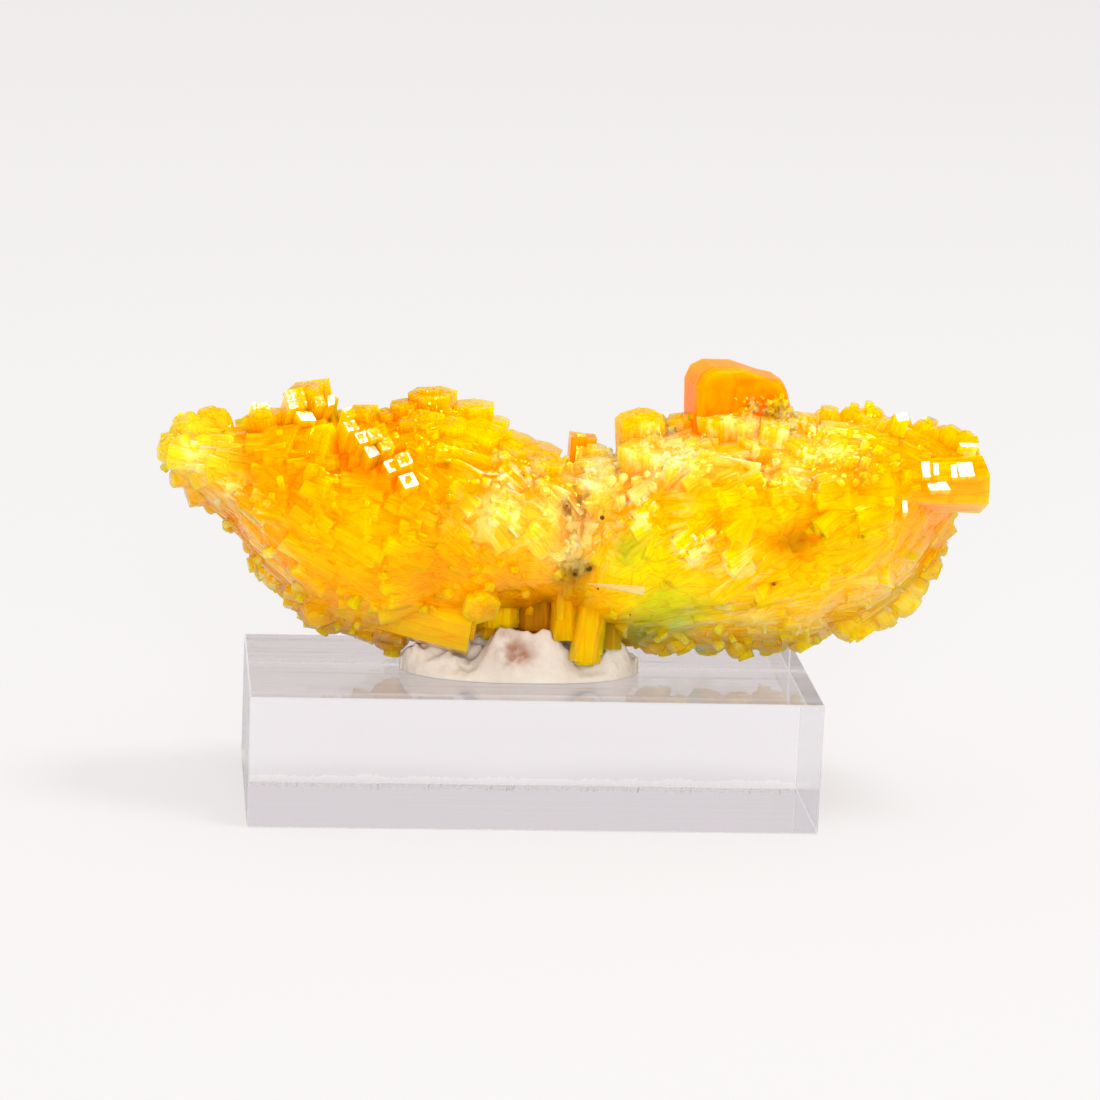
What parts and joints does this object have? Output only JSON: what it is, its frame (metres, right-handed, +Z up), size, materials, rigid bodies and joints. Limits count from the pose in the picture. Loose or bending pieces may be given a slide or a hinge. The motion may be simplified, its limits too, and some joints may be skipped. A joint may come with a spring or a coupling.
{
  "type": "mineral specimen on display base",
  "caption": "Bow-tie mimetite crystal cluster, yellow to orange, held by a cream tack lump on a clear acrylic display block.",
  "frame": {"origin": "centre of the acrylic block's underside", "axes": "+X along the block's length to the viewer's right, +Y away from the viewer, +Z up"},
  "size_m": [0.0439, 0.0154, 0.0241],
  "materials": {
    "mimetite": "resinous translucent crystal",
    "tack": "matte putty",
    "acrylic": "clear polished acrylic"
  },
  "bodies": {
    "root": {"mimetite_cluster": "mimetite", "mineral_tack": "tack", "acrylic_base": "acrylic"}
  },
  "joints": []
}
